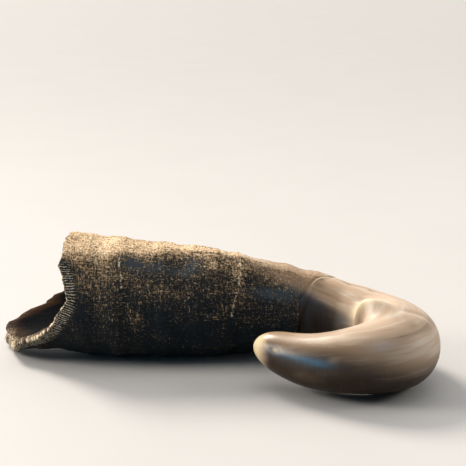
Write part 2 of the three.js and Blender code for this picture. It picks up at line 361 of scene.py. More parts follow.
def rim_at(angle):
    """Where the broken rim stands: straight between the listed places, plus nicks of two
    widths, about 7 mm and 2 mm, from torn threads. The far side is chipped more deeply."""
    nicks = patches(RIM_NICKS, 0 * angle, angle)
    chips = patches(RIM_CHIPS, 0 * angle, angle) + 0.5 * nicks
    chipped = 1 - ease(*CHIPS_FADE, np.abs(turn_between(angle, CHIPPED_MIDDLE)))
    return between_places(RIM, angle % 360) + nicks + chipped * chips


print("rim listed at", len(RIM), "angles, with nicks", RIM_NICKS[0][0], "mm deep")

# %% [markdown]
# The comb of threads stands square to the rim, so it needs its own measure: how far a place
# lies from the rim, and where on the rim the nearest point is. The rim is smoothed first, so
# that neighbouring threads do not cross.

# %% Measure along the rim
RIM_RADIUS = 44.0  # mm, the mouth's mean half size
RIM_SMOOTHING = 19  # degrees
THREAD_LEAN = 0.5
rim_angles = np.arange(-180, 541, 1.0)
rim_padded = np.pad(between_places(RIM, rim_angles % 360), RIM_SMOOTHING // 2, mode="edge")
smooth_rim = np.convolve(rim_padded, np.ones(RIM_SMOOTHING) / RIM_SMOOTHING, mode="valid")
degree_length = np.radians(1.0) * RIM_RADIUS
rim_slope = np.gradient(smooth_rim, degree_length)
rim_length = np.cumsum(np.sqrt(1 + rim_slope**2)) * degree_length
one_turn = np.interp(360, rim_angles, rim_length) - np.interp(0, rim_angles, rim_length)
print("rim is about", round(one_turn), "mm long")


def square_to_rim(along, angle):
    """Distance from the rim, and length along the rim to where a thread meets it. A thread
    leans half way from the horn's own direction to the perpendicular of the rim."""
    away = along - np.interp(angle, rim_angles, smooth_rim)
    slope = np.interp(angle, rim_angles, rim_slope)
    foot = angle + np.degrees(THREAD_LEAN * away * slope / (1 + slope**2) / RIM_RADIUS)
    return away / np.sqrt(1 + slope**2), np.interp(foot, rim_angles, rim_length)


# %% [markdown]
# Each kind of skin has its own place: dusty with lifted flakes on the top face, sound and nearly
# black low on the front, combed beside the rim, and rubbed past the last growth ring. Some shares
# paint light as well: the dusty and pale ones are fuller on top, a painted light, and thinner
# below, a painted shade, and a few patches and lines are painted highlights, shadows and
# reflections. They could be painted by hand. As shares from 0 to 1 they are used twice: for the
# relief here, and for the colour later, so that the two always agree.

# %% Places of the skin's patches, rings and scars
# Angle, and where the last growth ring stands there.
SMOOTH_RING = [
    (40, 262), (81, 259.5), (109, 251), (134, 241.5), (151, 234), (197, 235), (290, 248),
    (400, 262),
]
# Patches: along, angle, reach along, reach round in degrees, and share. Where dust has a
# negative share, the skin is barer: those are the patches on the back.
DUST_PATCHES = [
    (136, 159, 13, 5, 0.32), (163.5, 122, 3.5, 9, 0.4), (183, 137, 5, 18, 0.35),
    (111, 192, 4, 13, 0.4), (98, 140, 7, 16, 0.12), (166, 181, 9, 3, 0.35),
    (177, 170, 6, 6, 0.3), (86, 152, 9, 24, 0.2), (196, 182, 12, 8, 0.2),
    (230, 132, 13, 26, 0.3), (140, 38, 30, 16, -0.6), (214, 55, 20, 12, -0.5),
    (84, 12, 22, 18, -0.55), (118, 345, 34, 20, -0.5), (190, 5, 26, 16, -0.45),
    (172, 60, 10, 8, -0.3),
]
# Hard, bare skin along the upper front, which the colour paints bluish there as a painted
# reflection.
SOUND_AND_SHEEN_PATCHES = [
    (152, 126, 5, 6, 1.0), (143, 137, 7, 4, 0.8), (104, 131, 6, 7, 0.8), (121, 133, 8, 6, 0.7),
    (212, 150, 16, 7, 0.9), (234, 136, 9, 8, 1.0),
]
# Cream horn: the pit, the tip's end, the dent, and three patches round the knob of the bend. The
# three round the knob are a painted highlight, and the cream of the tip's end is partly one.
PIT = (455.5, 28, 2.2, 6, 0.6)
STAINS_AND_HIGHLIGHTS = [
    PIT, (475, 10, 6, 70, 0.9), (414, 20, 4, 7, 0.3), (352, 140, 15, 15, 0.75),
    (310, 137, 14, 14, 0.9), (335, 118, 11, 9, 0.5),
]
# Chains of places: along, angle and height of the skin that lifts there.
SCARS = [
    [(97.8, 128, 0.3), (98.6, 137, 0.3)], [(100, 144, 0.3), (100.6, 157, 0.2)],
    [(186.5, 108, 0.5), (185, 118, 0.6), (186.5, 127, 0.7), (183, 138, 0.6), (183.5, 146, 0.4)],
    [(181, 154, 0.4), (178.5, 168, 0.3), (177.5, 180, 0.2)],
    [(73, 80, 0.4), (74, 105, 0.4)],
    [(84, 116, 0.2), (80, 128, 0.3), (83, 136, 0.2)],
    [(253, 88, 0.1), (255.5, 93, 0.1)],
]
# Dark cracks, which are drawn in colour alone. The first two follow the shallow groove of the bend
# and darken it as painted shade.
CRACKS_AND_GROOVE_SHADE = [
    [(267, 83, 0), (278.5, 86, 0)], [(287.5, 81, 0), (303, 83, 0), (318.5, 81, 0)],
    [(100.2, 107, 0), (101, 107, 0)], [(150, 112, 0), (172, 108, 0)],
]
print(len(DUST_PATCHES) + len(SOUND_AND_SHEEN_PATCHES) + len(STAINS_AND_HIGHLIGHTS), "patches,", len(SCARS), "scars")

# %% Where one kind of skin passes into the next: where it starts, and where it is full
# Millimetres along the horn.
PALE_ALONG = (248, 332)
BEND_ALONG = (290, 360)
TIP_ALONG = (370, 430)
# At the tip's end the pale coat goes all round, partly a painted highlight.
TIP_END_PALE_AND_HIGHLIGHT_ALONG = (458, 472)
WARM_TIP_ALONG = (385, 430)
WARM_BODY_FADES = (250, 300)
# On its top the horn is painted pale sooner, a painted light.
TOP_LIGHT_LEAD = 85  # how much sooner the horn turns pale on its top
# Millimetres past the last ring, behind a share: slow wear up to it, and the step across it.
POLISH_STEPS = [(0.45, -50, -6), (0.55, -4, 1)]
DUST_THINS = (-45, 0)
# Millimetres from the rim.
COMB_FADES = (5, 14)
# Degrees from the long edge.
# The dusty share is full on the top face and thins down the front, less again low on it: painted
# light on top and painted shade below.
TOP_DUST_AND_LIGHT_FADES = (-2, 13)
FRONT_DUST_AND_SHADE_FADES = (0, 72)
LOW_FRONT_SHADE = (60, 90)
# Degrees from the outer side.
BACK_DUST = (-60, 30)
# Sine of the angle, which is 1 on top and -1 below. At the tip only the highest part is pale.
# The pale coat is fuller on top, a painted light, and stops short of the underside, a painted
# shade.
TOP_LIGHT_LIFT = (0.35, 0.95)
UNDERSIDE_SHADE_LIFT = (-0.8, 0.6)
UNDERSIDE_SHADE_SHIFT_AT_TIP = 0.85
# Sectors in degrees round the horn: start, full, fading, end.
COMB_SECTOR = (122, 150, 300, 330)
# The last ring gets a painted shadow below its step and a painted highlight along it on top.
RING_SHADOW_SECTOR = (135, 150, 195, 215)
RING_HIGHLIGHT_SECTOR = (60, 76, 118, 132)
print("the horn turns pale from", PALE_ALONG[0] - TOP_LIGHT_LEAD, "mm on its top")


# %% Shares of each kind of skin
def ring_distance(along, angle):
    """Millimetres past the last growth ring, where the horn turns smooth."""
    turned = np.where(angle < SMOOTH_RING[0][0], angle + 360, angle)
    return along - between_places(SMOOTH_RING, turned)


def sector(angle, start, full, fading, end):
    """1 in a sector of the horn: a smooth step up from start to full, times 1 minus a smooth
    step from fading to end."""
    return ease(start, full, angle) * (1 - ease(fading, end, angle))


def patches_at(places, along, angle):
    """Sum of bells, each over its reach along and its reach round."""
    total = np.zeros(along.shape)
    for at, around, reach_along, reach_round, share in places:
        turned = turn_between(angle, around)
        total += share * bell(along - at, reach_along) * bell(turned, reach_round)
    return total


def dust_and_painted_light_at(along, angle, sound_and_sheen, comb):
    """Share of lifted flakes: the top face, then the front as far as it is not covered yet, and
    the patches. Full on top and thinning down the front, it also paints the top lighter and the
    lower front darker, as painted light and painted shade. There is less in the comb, on sound
    skin and before the last ring."""
    turn = edge_turn(along, angle)
    top = (1 - ease(*TOP_DUST_AND_LIGHT_FADES, turn)) * ease(*BACK_DUST, turn_between(angle, 0))
    front = 0.5 * (1 - ease(*FRONT_DUST_AND_SHADE_FADES, np.abs(turn))) - 0.04 * ease(*LOW_FRONT_SHADE, turn)
    dust_and_painted_light = top + (1 - top) * front + patches_at(DUST_PATCHES, along, angle)
    dust_and_painted_light *= 1 - 0.6 * comb
    dust_and_painted_light *= (1 - 0.5 * sound_and_sheen) * (1 - 0.15 * ease(*DUST_THINS, ring_distance(along, angle)))
    return np.clip(dust_and_painted_light, -0.1, 1.2)


def pale_and_painted_light_at(along, angle):
    """Share of pale horn, partly painted light: a smooth step along, which comes sooner on top as
    a painted light, times a smooth step up the side, which leaves the underside dark as a painted
    shade and stands higher at the tip. The very end of the tip is pale all round, partly a painted
    highlight."""
    lift = np.sin(np.radians(angle))
    tip = ease(*TIP_ALONG, along)
    low, high = (edge + UNDERSIDE_SHADE_SHIFT_AT_TIP * tip for edge in UNDERSIDE_SHADE_LIFT)
    pale_and_painted_light = ease(*PALE_ALONG, along + TOP_LIGHT_LEAD * ease(*TOP_LIGHT_LIFT, lift))
    pale_and_painted_light *= (1 - 0.3 * tip) * ease(low, high, lift)
    return np.maximum(pale_and_painted_light, 0.8 * ease(*TIP_END_PALE_AND_HIGHLIGHT_ALONG, along))


def shares_at(along, angle):
    """Shares from 0 to 1 of each kind of skin. The polish is the greater of its steps across
    the last ring and half of the sound share. The comb is near the rim, in its sector. The
    dryness, which gives the gloss, is 0.82 less a part of each finish, and more in the pit."""
    away, _ = square_to_rim(along, angle)
    past = ring_distance(along, angle)
    sound_and_sheen = np.clip(patches_at(SOUND_AND_SHEEN_PATCHES, along, angle), 0, 1)
    worn = sum(share * ease(low, high, past) for share, low, high in POLISH_STEPS)
    polish = np.maximum(worn, 0.5 * sound_and_sheen)
    comb = (1 - ease(*COMB_FADES, away)) * sector(angle, *COMB_SECTOR)
    pale_and_painted_light = pale_and_painted_light_at(along, angle)
    warm_body = 0.6 * (1 - ease(*WARM_BODY_FADES, along))
    bend, tip = ease(*BEND_ALONG, along), ease(*TIP_ALONG, along)
    pit = patches_at([PIT], along, angle)
    return {
        "polish": polish,
        "sound_and_sheen": sound_and_sheen,
        "comb": comb,
        "dust_and_painted_light": dust_and_painted_light_at(along, angle, sound_and_sheen, comb),
        "pale_and_painted_light": pale_and_painted_light,
        # The warm tone follows the pale coat onto the lit top, so it is partly painted light too.
        "warm": np.maximum(ease(*WARM_TIP_ALONG, along), warm_body) * pale_and_painted_light,
        "stain_and_highlight": np.clip(patches_at(STAINS_AND_HIGHLIGHTS, along, angle), 0, 1),
        "dryness": 0.82 - 0.27 * polish - 0.08 * bend - 0.15 * tip - 0.15 * sound_and_sheen + 0.3 * pit,
        "ring_shadow": sector(angle, *RING_SHADOW_SECTOR),
        "ring_highlight": sector(angle, *RING_HIGHLIGHT_SECTOR),
    }


knob_shares = shares_at(*knob)
print("on the knob of the bend:", {name: rounded(kept, 2) for name, kept in knob_shares.items()})

# %% Fine relief: height in mm, cell along in mm, cells round the horn, and seed
GROWTH_RINGS = [(0.09, 3.4, 9, 21), (0.11, 2.0, 16, 22)]
THREADS = [(0.20, 26, 100, 24), (0.18, 12, 116, 25)]
SMOOTH_WAVES = [(0.18, 20, 12, 29), (0.04, 45, 30, 30)]
# Flakes and pits rise or sink between the two patchy values that follow their height.
FLAKES_AND_PITS = [(0.24, 0.1, 0.3, 3.0, 78, 26), (-0.34, 0.55, 0.8, 3.4, 70, 27)]
# The comb's cells are 2.4 mm along the rim, and 7.5 mm away from it: a twelfth of a turn.
COMB_THREADS = [(0.55, 2.4, 12, 28)]
COMB_TURN = 4  # degrees for each mm away from the rim
SCAR_WIDTH = 0.9


def fine_relief(along, angle):
    """Millimetres outward: rings, threads, flakes, pits and the comb on the rough skin, and
    slow shallow waves on the smooth bend and tip."""
    share = shares_at(along, angle)
    rings = patches(GROWTH_RINGS, along, angle)
    threads = patches(THREADS, along, angle)
    flakes = 0
    for height, low, high, *cells in FLAKES_AND_PITS:
        flakes = flakes + height * ease(low, high, patchy(along, angle, *cells))
    away, rim_place = square_to_rim(along, angle)
    comb = patches(COMB_THREADS, rim_place, COMB_TURN * away)
    waves = patches(SMOOTH_WAVES, along, angle)
    for places in SCARS:
        to_scar, lift = nearest_on_line(places, along, angle, RIM_RADIUS + 0 * along)
        rings = rings + lift * bell(to_scar, SCAR_WIDTH)
    rough = (1 - share["polish"]) * (rings + threads + flakes) + share["comb"] * comb
    return rough + share["polish"] * waves


print("threads stand out by up to", sum(kind[0] for kind in THREADS), "mm")

# %% [markdown]
# ## Outer skin, inner wall and torn edge
# Three sheets of the same grid make the closed sheath. The outer skin adds both reliefs to the
# oval. The inner wall is the oval less the wall, closing like the end of an egg. Between them
# a narrow strip of rings rounds the torn edge, which is splayed and fibrous, most at the lip.
# A Solidify modifier would make the wall too, but evenly thick, and cut square at the edge.

# %% The three sheets: height in mm, cell along in mm, cells round the horn, and seed
LEDGE_WANDER = [(2.0, 10, 26, 41), (1.0, 10, 90, 42)]
LEDGE_WANDER_FADES = (200, 225)
BONE_RIBS = [(0.5, 60, 26, 51), (0.25, 7, 14, 52)]


def outer_point(along, angle):
    """A point of the outer skin: the oval, each half size larger by the relief, and lifted in
    the inner corner. The ledges wander by a few millimetres, except the last one."""
    section = section_at(along)
    wander = patches(LEDGE_WANDER, 0 * along, angle) * (1 - ease(*LEDGE_WANDER_FADES, along))
    relief = large_relief(along, angle, section["half_height"], wander)
    relief = section["dome"] * (relief + fine_relief(along, angle))
    width, height = section["half_width"] + relief, section["half_height"] + relief
    point = place_on_section(section, angle, width, height)
    point[..., 2] += web_lift(along, angle)
    return point


def lip_share(angle):
    """1 at the lip, falling as a bell round it."""
    return bell(turn_between(angle, LIP_ANGLE), LIP_SPREAD)


def inner_point(along, angle):
    """A point of the hollow: the oval less the wall, times the square root of 1 minus the
    depth to a power, with the long ribs that the bony core leaves."""
    section = section_at(along)
    span = HOLLOW_END - HOLLOW_TAPER_START
    deep = np.clip((along - HOLLOW_TAPER_START) / span, 0, 1)
    taper = np.sqrt(1 - deep**HOLLOW_TAPER_POWER)
    wall = RIM_WALL + LIP_EXTRA_WALL * lip_share(angle) - patches(BONE_RIBS, along, angle)
    width = (section["half_width"] - wall) * taper
    height = (section["half_height"] - wall) * taper
    return place_on_section(section, angle, width, height)


print("wall", RIM_WALL, "mm thick, and", RIM_WALL + LIP_EXTRA_WALL, "mm at the lip")

# %% Rings from the bottom of the hollow to the tip
POINTS_ROUND = 240
HOLLOW_RINGS = 44
TORN_RINGS = 5
RIM_SPAN_END = 100.0
# Count of rings, and where they end along the horn.
OUTER_SPANS = [(52, RIM_SPAN_END), (182, 272.0), (62, 360.0), (42, MIDDLE_LENGTH - TIP_ROUNDING)]
DOME_RINGS = 16

angle_row = np.arange(POINTS_ROUND) * 360.0 / POINTS_ROUND
rim_row = rim_at(angle_row)
depths = np.sin(0.5 * np.pi * np.arange(HOLLOW_RINGS - 1, -1, -1) / HOLLOW_RINGS)[:, None]
hollow_along = rim_row + depths * (HOLLOW_END - rim_row)
hollow_angle = np.broadcast_to(angle_row, hollow_along.shape)
hollow_points = inner_point(hollow_along, hollow_angle)

outer_along = [np.linspace(rim_row, RIM_SPAN_END, OUTER_SPANS[0][0])]
for (count, end), (_, start) in zip(OUTER_SPANS[1:], OUTER_SPANS[:-1]):
    steps = np.linspace(start, end, count + 1)[1:, None]
    outer_along.append(np.broadcast_to(steps, (count, POINTS_ROUND)))
dome_steps = np.sin(0.5 * np.pi * np.arange(1, DOME_RINGS) / DOME_RINGS)[:, None]
dome_along = MIDDLE_LENGTH - TIP_ROUNDING + TIP_ROUNDING * dome_steps
outer_along.append(np.broadcast_to(dome_along, (DOME_RINGS - 1, POINTS_ROUND)))
outer_along = np.concatenate(outer_along)
outer_angle = np.broadcast_to(angle_row, outer_along.shape)
outer_points = outer_point(outer_along, outer_angle)
print("the rim stands between", rounded((rim_row.min(), rim_row.max()), 1), "mm along")
print(len(hollow_along), "rings inside,", len(outer_along), "rings outside")

# %% Torn edge between the two walls
EDGE_BULGE = 0.7  # mm
EDGE_LAYERS = [(1.0, 5, 130, 61)]  # height, cell across, cells round the horn, and seed
EDGE_ACROSS = 20  # the strip's width, which makes four such cells

across = (np.arange(1, TORN_RINGS + 1) / (TORN_RINGS + 1))[:, None, None]
torn_points = hollow_points[-1] * (1 - across) + outer_points[0] * across
heading = section_at(rim_row)["heading"]
ahead = np.stack([np.cos(heading), -np.sin(heading), 0 * rim_row], axis=-1)
bulge = EDGE_BULGE * np.sin(np.pi * across[..., 0])
torn_angle = angle_row + 0 * across[..., 0]
layers = patches(EDGE_LAYERS, EDGE_ACROSS * across[..., 0] + 0 * rim_row, torn_angle)
layers = (0.3 + 0.5 * lip_share(angle_row)) * layers
torn_points = torn_points - (bulge + layers)[..., None] * ahead
torn_along = np.broadcast_to(rim_row, (TORN_RINGS, POINTS_ROUND))

points = np.concatenate([hollow_points, torn_points, outer_points])
along = np.concatenate([hollow_along, torn_along, outer_along])
angle = np.concatenate([hollow_angle, torn_angle, outer_angle])
hollow_pole = inner_point(np.array([HOLLOW_END]), np.array([0.0]))
tip_pole = outer_point(np.array([MIDDLE_LENGTH]), np.array([0.0]))
print("grid of", points.shape[0], "rings by", POINTS_ROUND, "points")

# %% [markdown]
# ## One closed mesh
# The grid becomes a mesh of four-sided faces, with a fan of triangles at each pole. Every
# point also keeps what the finish needs: its place on the straightened horn, so that a
# pattern follows the bend as the growth does, and the shares of polished, dusty, torn and
# hollow skin. They could be painted on an image, but a number for each point needs no
# unwrapping and has no seam. They are stored as attributes, which any material can read.

# %% Mesh
MM = 0.001
ring_count = points.shape[0]
flat_points = np.concatenate([points.reshape(-1, 3), hollow_pole, tip_pole]) * MM
box_low, box_high = (np.array(corner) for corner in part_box("horn_sheath"))
flat_points = np.clip(flat_points, box_low, box_high)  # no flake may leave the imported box

here = np.arange(ring_count * POINTS_ROUND).reshape(ring_count, POINTS_ROUND)
beside = np.roll(here, -1, axis=1)
quads = np.stack([here[:-1], beside[:-1], beside[1:], here[1:]], axis=-1).reshape(-1, 4)
hollow_corner = np.full(POINTS_ROUND, ring_count * POINTS_ROUND)
hollow_fan = np.stack([hollow_corner, beside[0], here[0]], axis=-1)
tip_fan = np.stack([here[-1], beside[-1], hollow_corner + 1], axis=-1)

mesh = bpy.data.meshes.new("keratin_sheath")
mesh.from_pydata(flat_points.tolist(), [], quads.tolist() + hollow_fan.tolist() + tip_fan.tolist())
mesh.polygons.foreach_set("use_smooth", np.ones(len(mesh.polygons), bool))
sheath = bpy.data.objects.new("keratin_sheath", mesh)
bpy.context.scene.collection.objects.link(sheath)
print(len(mesh.vertices), "points,", 2 * len(quads) + 2 * POINTS_ROUND, "triangles")

# %% Attributes for the finish
HOLLOW_DRYNESS = 1.0  # quite matt, so that the hollow does not mirror the bright side
TIP_SHARES = {"polish": 1, "pale_and_painted_light": 1, "warm": 1, "stain_and_highlight": 0.9, "dryness": 0.3}
RING_REACH = 60  # mm to either side of the last ring


def keep_numbers(name, values, at_hollow, at_tip):
    """Stores a number, or a vector, for each point of the grid and for the two poles."""
    flat = np.concatenate([values.reshape(-1, *values.shape[2:]), [at_hollow], [at_tip]])
    kind, field = ("FLOAT", "value") if flat.ndim == 1 else ("FLOAT_VECTOR", "vector")
    layer = mesh.attributes.new(name, kind, "POINT")
    layer.data.foreach_set(field, flat.astype(np.float32).ravel())


radius = 0.5 * (section_at(along)["half_height"] + section_at(along)["half_width"])
turn = np.radians(angle)
straight = np.stack([along, radius * np.cos(turn), radius * np.sin(turn)], axis=-1)
keep_numbers("straight", straight, [HOLLOW_END, 0, 0], [MIDDLE_LENGTH, 0, 0])
away, rim_place = square_to_rim(along, angle)
keep_numbers("from_rim", np.stack([away, rim_place, 0 * away], axis=-1), [0, 0, 0], [0, 0, 0])

shares = shares_at(along, angle)
shares["dryness"][:HOLLOW_RINGS - 1] = HOLLOW_DRYNESS
for name, values in shares.items():
    at_hollow = HOLLOW_DRYNESS if name == "dryness" else 0
    keep_numbers(name, values, at_hollow, TIP_SHARES.get(name, 0))
past = np.clip(ring_distance(along, angle), -RING_REACH, RING_REACH)
keep_numbers("past", past, -RING_REACH, RING_REACH)
print("mean shares:", {name: round(float(values.mean()), 2) for name, values in shares.items()})

# %% Attributes of the hollow, the torn edge and the lines
LINE_REACH = 5  # mm
BROWN_EDGE_FADES = (2, 18)  # mm into the hollow
BROWN_EDGE_WANDER = [(14, 12, 20, 62)]  # height, cell along, cells round the horn, and seed
LIP_FRAYS = (0.6, 0.95)  # share of the lip
TORN_AND_LIT_SECTOR = (120, 160, 288, 312)
edge_start, edge_end = HOLLOW_RINGS, HOLLOW_RINGS + TORN_RINGS

# The hollow is marked here; the colour paints it near black as painted shade.
inside = np.zeros(along.shape)
inside[:edge_end] = 1
keep_numbers("inside", inside, 1, 0)
from_edge = along - rim_at(angle) + patches(BROWN_EDGE_WANDER, along, angle)
keep_numbers("near_edge", inside * (1 - ease(*BROWN_EDGE_FADES, from_edge)), 0, 0)
# The lip is frayed over its whole edge and just past it, and the rest only on the outer half.
# Their pale ends are partly a painted highlight of the lit broken edge.
torn_and_edge_light = np.zeros(along.shape)
torn_and_edge_light[edge_start - 1:edge_end + 3] = 0.8 * ease(*LIP_FRAYS, lip_share(angle_row))
torn_and_edge_light[edge_start + 2:edge_end + 1] = sector(angle_row, *TORN_AND_LIT_SECTOR)
keep_numbers("torn_and_edge_light", torn_and_edge_light, 0, 0)


def distance_to_lines(lines):
    """Millimetres to the nearest of several chains, at most the reach, and more inside."""
    radius = RIM_RADIUS + 0 * along
    away = [nearest_on_line(places, along, angle, radius)[0] for places in lines]
    return np.min(away, axis=0).clip(0, LINE_REACH) + LINE_REACH * inside


keep_numbers("to_scar", distance_to_lines(SCARS), LINE_REACH, LINE_REACH)
keep_numbers("to_crack_and_groove_shade", distance_to_lines(CRACKS_AND_GROOVE_SHADE), LINE_REACH, LINE_REACH)
print("attributes:", [layer.name for layer in mesh.attributes])

# %% [markdown]
# ## Nodes in one helper
# A finish is a small web of nodes. One function adds a node, sets its properties, and fills
# its inputs either with a value or with a link from another node.


# %% Colour and node helpers
def linear(hex_colour):
    """sRGB hex to linear light: each part over 12.92 when dark, otherwise the 2.4th power of
    the part plus 0.055, over 1.055."""
    parts = np.array([int(hex_colour[i:i + 2], 16) for i in (1, 3, 5)]) / 255
    light = np.where(parts <= 0.04045, parts / 12.92, ((parts + 0.055) / 1.055) ** 2.4)
    return (*light.tolist(), 1.0)


def add(tree, kind, inputs=None, out=0, **settings):
    """Adds one node. Settings are its properties, and each input takes a value or another
    node's output. Gives back one of its outputs, where it has any."""
    node = tree.nodes.new("ShaderNode" + kind)
    for name, value in settings.items():
        setattr(node, name, value)
    for name, value in (inputs or {}).items():
        if isinstance(value, bpy.types.NodeSocket):
            tree.links.new(value, node.inputs[name])
        else:
            node.inputs[name].default_value = value
    return node.outputs[out] if node.outputs else None


print("middle grey in linear light:", rounded(linear("#808080"), 3))

# %% [markdown]
# ## Keratin, weathered at the base and hand-rubbed at the tip
# Keratin is a hard protein with an index of refraction of about 1.54. New growth weathers to
# a dull, flaky skin: nearly black where it is sound, tan where threads have lifted and dried.
# The bend and the tip are rubbed to a low, waxy gloss, and are browner and lighter. All of it
# is one material, because the horn is one piece and each finish fades into the next.
# Some of the colour paints light and shade as well: lighter on top, darker underneath and in the
# hollow, and a few painted highlights, shadows and reflections.

# %% Start the horn's material
horn = bpy.data.materials.new("buffalo_horn_weathered_and_hand_rubbed")
horn.use_nodes = True
tree = horn.node_tree
tree.nodes.clear()
straight = add(tree, "Attribute", out="Vector", attribute_name="straight")
from_rim = add(tree, "Attribute", out="Vector", attribute_name="from_rim")
share = {
    name: add(tree, "Attribute", out="Fac", attribute_name=name)
    for name in (
        "polish", "sound_and_sheen", "comb", "dust_and_painted_light", "pale_and_painted_light", "warm", "stain_and_highlight", "past", "inside", "torn_and_edge_light",
        "to_scar", "to_crack_and_groove_shade", "ring_shadow", "ring_highlight", "near_edge",
    )
}
print("the colour reads", len(share), "shares and measures")

# %% [markdown]
# Every pattern is noise on the straightened horn. Long cells along it make threads, long
# cells round it make growth rings. Real threads are about 0.3 mm apart, and are drawn at
# 0.9 mm or more, because finer ones do not show from a step away.

# %% Patterns: the cell along and across in millimetres, and the detail
PATTERNS = {
    "dashes_round": (0.9, 2.2, 3.0),
    "dashes_along": (2.4, 0.9, 3.0),
    "crumbs": (1.7, 1.7, 2.0),
    "grit": (1.2, 1.2, 1.0),
    "clouds": (26.0, 20.0, 2.0),
    "threads": (20.0, 1.3, 1.0),
    "rings": (1.2, 16.0, 1.0),
    "streaks": (70.0, 8.0, 3.0),
    "smears": (24.0, 14.0, 2.0),
}
PATTERN_SHIFT = 40.0  # cells from one pattern to the next, so that no two match
pattern = {}
for number, (name, (cell_along, cell_across, detail)) in enumerate(PATTERNS.items()):
    scale = (1 / cell_along, 1 / cell_across, 1 / cell_across)
    inputs = {"Vector": straight, "Location": (PATTERN_SHIFT * number, 0, 0), "Scale": scale}
    moved = add(tree, "Mapping", inputs)
    inputs = {"Vector": moved, "Scale": 1.0, "Detail": detail, "Roughness": 0.6}
    pattern[name] = add(tree, "TexNoise", inputs)
print(len(pattern), "patterns, from", PATTERNS["dashes_round"][0], "mm upwards")

# %% The comb beside the rim: wavy bands
COMB_SPACING = 1.8  # mm
BANDS_PER_UNIT = 20 / (2 * np.pi)  # the wave texture's own count at a scale of 1
comb_scale = 1 / (COMB_SPACING * BANDS_PER_UNIT)
inputs = {"Vector": from_rim, "Scale": comb_scale, "Distortion": 4.0, "Detail": 2.0}
pattern["comb_lines"] = add(tree, "TexWave", inputs, bands_direction="Y")
print("comb drawn every", COMB_SPACING, "mm")

# %% Lifted flakes and broken lines
# A flake shows where a dash stands out: sooner where the skin is dusty, which is most on the top
# face and so partly painted light, and along the rings and threads, which tie the flakes into a
# faint net.
lifted = {0: pattern["dashes_round"], 1: pattern["dashes_along"]}
lifted = add(tree, "Math", lifted, operation="MAXIMUM")
for measure, weight in ((share["dust_and_painted_light"], 0.24), (pattern["clouds"], 0.2),
                        (pattern["rings"], 0.14), (pattern["threads"], 0.14)):
    lifted = add(tree, "Math", {0: measure, 1: weight, 2: lifted}, operation="MULTIPLY_ADD")
# Crumbs break the scars, the cracks and the painted shade of the groove into short pieces.
scar = {0: pattern["crumbs"], 1: -4.0, 2: share["to_scar"]}
scar = add(tree, "Math", scar, operation="MULTIPLY_ADD")
crack_and_groove_shade = {0: pattern["crumbs"], 1: -1.5, 2: share["to_crack_and_groove_shade"]}
crack_and_groove_shade = add(tree, "Math", crack_and_groove_shade, operation="MULTIPLY_ADD")
teeth = pattern["comb_lines"]
for measure in (share["comb"], pattern["grit"], 2.0):
    teeth = add(tree, "Math", {0: teeth, 1: measure}, operation="MULTIPLY")
from_ring = add(tree, "Math", {0: share["past"]}, operation="ABSOLUTE")
rough = add(tree, "Math", {0: 1.0, 1: share["polish"]}, operation="SUBTRACT")
speckled = add(tree, "Math", {0: rough, 1: share["pale_and_painted_light"]}, operation="MULTIPLY")
print("nodes so far:", len(tree.nodes))

# %% [markdown]
# The colour is built up like coats of paint. Each coat shows where its measure passes from
# its first to its second number, and only as far as the share in its fourth place. Where the
# first number is the higher one, the coat shows on the low side.

